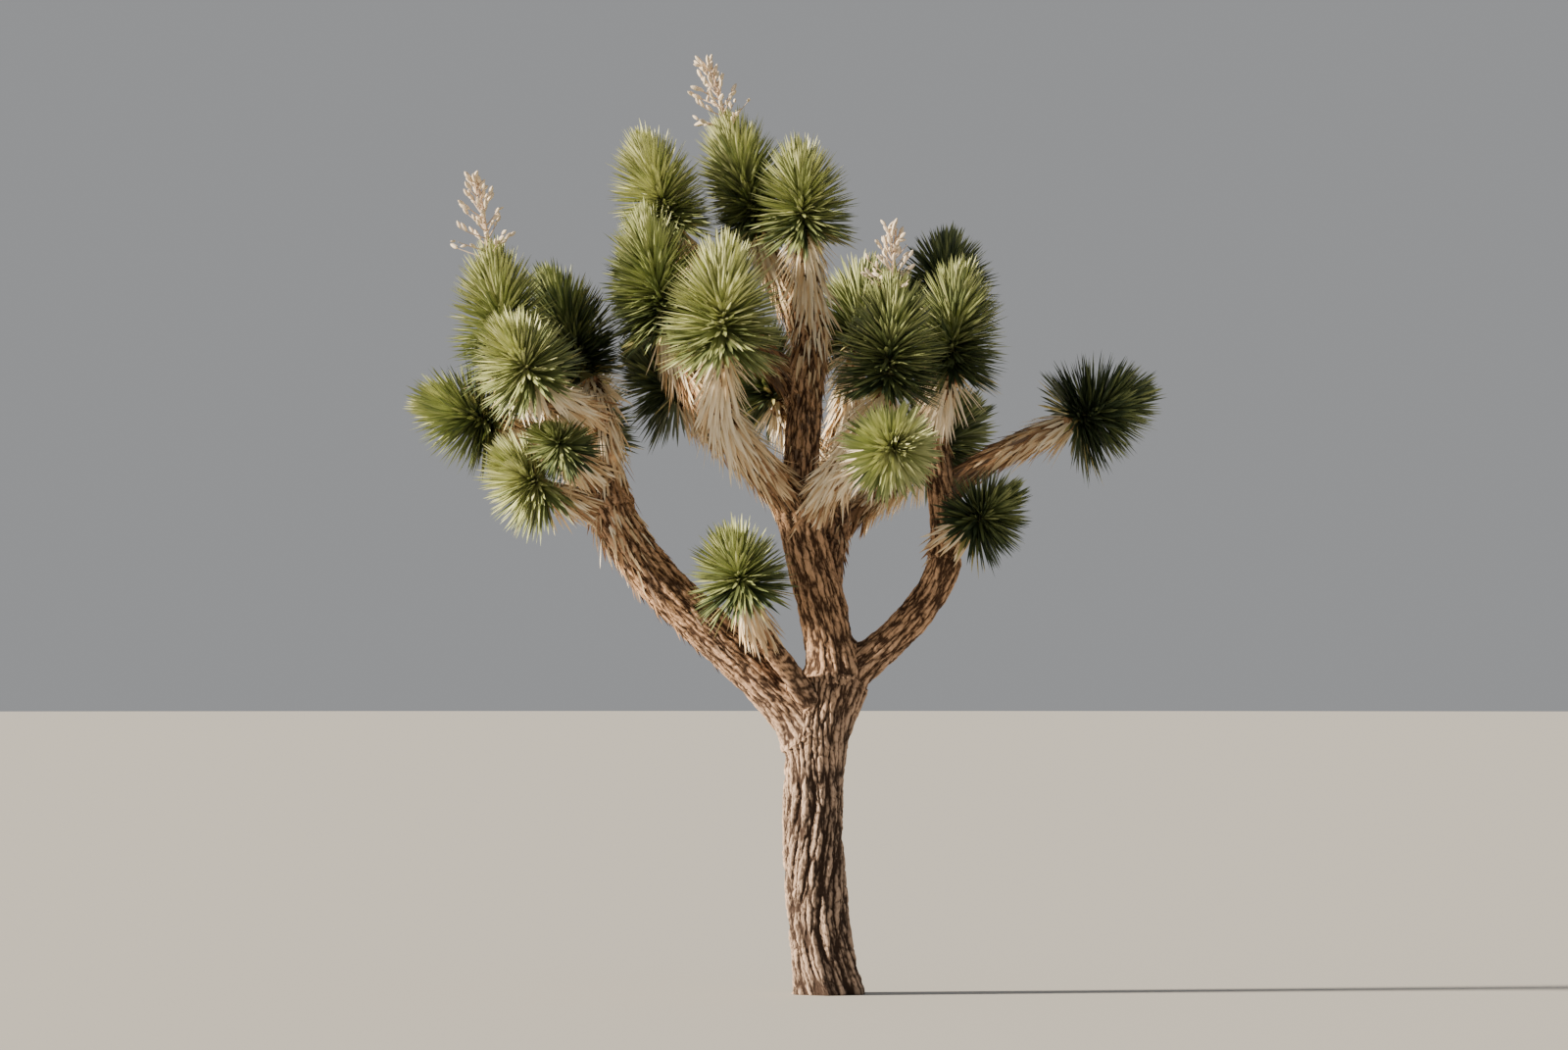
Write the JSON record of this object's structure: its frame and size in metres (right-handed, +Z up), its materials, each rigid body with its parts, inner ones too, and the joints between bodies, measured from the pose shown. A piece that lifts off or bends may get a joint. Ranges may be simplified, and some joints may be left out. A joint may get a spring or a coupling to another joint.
{
  "type": "joshua tree",
  "caption": "Rooted desert tree with a corky forked trunk, boughs sleeved in hanging dead leaves, and a round head of stiff dagger leaves on every tip.",
  "frame": {"origin": "middle of the flat cut under the trunk, at ground level", "axes": "+Z up along the tree's height, +X to the right and -Y towards the viewer of the picture"},
  "size_m": [3.7137, 2.349, 4.642],
  "materials": {
    "bark": "rough, fissured",
    "dead_leaf": "dry, matte",
    "green_leaf": "waxy, semi-matte"
  },
  "bodies": {
    "root": {"trunk": "bark", "bough_back": "bark", "bough_centre": "bark", "bough_centre_left": "bark", "bough_centre_top": "bark", "bough_front_right": "bark", "bough_left": "bark", "bough_left_upper": "bark", "bough_right": "bark", "bough_right_upper": "bark", "bough_top_left": "bark", "arm_back_left": "dead_leaf", "arm_back_mid": "dead_leaf", "arm_back_right": "dead_leaf", "arm_facing": "dead_leaf", "arm_front_top": "dead_leaf", "arm_left_back": "dead_leaf", "arm_left_far": "dead_leaf", "arm_left_inner": "dead_leaf", "arm_left_low": "dead_leaf", "arm_left_mid": "dead_leaf", "arm_left_rear": "dead_leaf", "arm_left_top": "dead_leaf", "arm_low": "dead_leaf", "arm_mid_left": "dead_leaf", "arm_right_far": "dead_leaf", "arm_right_front": "dead_leaf", "arm_right_low": "dead_leaf", "arm_right_rear": "dead_leaf", "arm_right_top": "dead_leaf", "arm_shade_left": "dead_leaf", "arm_top_back": "dead_leaf", "arm_top_left": "dead_leaf", "arm_top_mid": "dead_leaf", "arm_top_right": "dead_leaf", "head_back_left": "green_leaf", "head_back_mid": "green_leaf", "head_back_right": "green_leaf", "head_facing": "green_leaf", "head_front_top": "green_leaf", "head_left_back": "green_leaf", "head_left_far": "green_leaf", "head_left_inner": "green_leaf", "head_left_low": "green_leaf", "head_left_mid": "green_leaf", "head_left_rear": "green_leaf", "head_left_top": "green_leaf", "head_low": "green_leaf", "head_mid_left": "green_leaf", "head_right_far": "green_leaf", "head_right_front": "green_leaf", "head_right_low": "green_leaf", "head_right_rear": "green_leaf", "head_right_top": "green_leaf", "head_shade_left": "green_leaf", "head_top_back": "green_leaf", "head_top_left": "green_leaf", "head_top_mid": "green_leaf", "head_top_right": "green_leaf"}
  },
  "joints": []
}
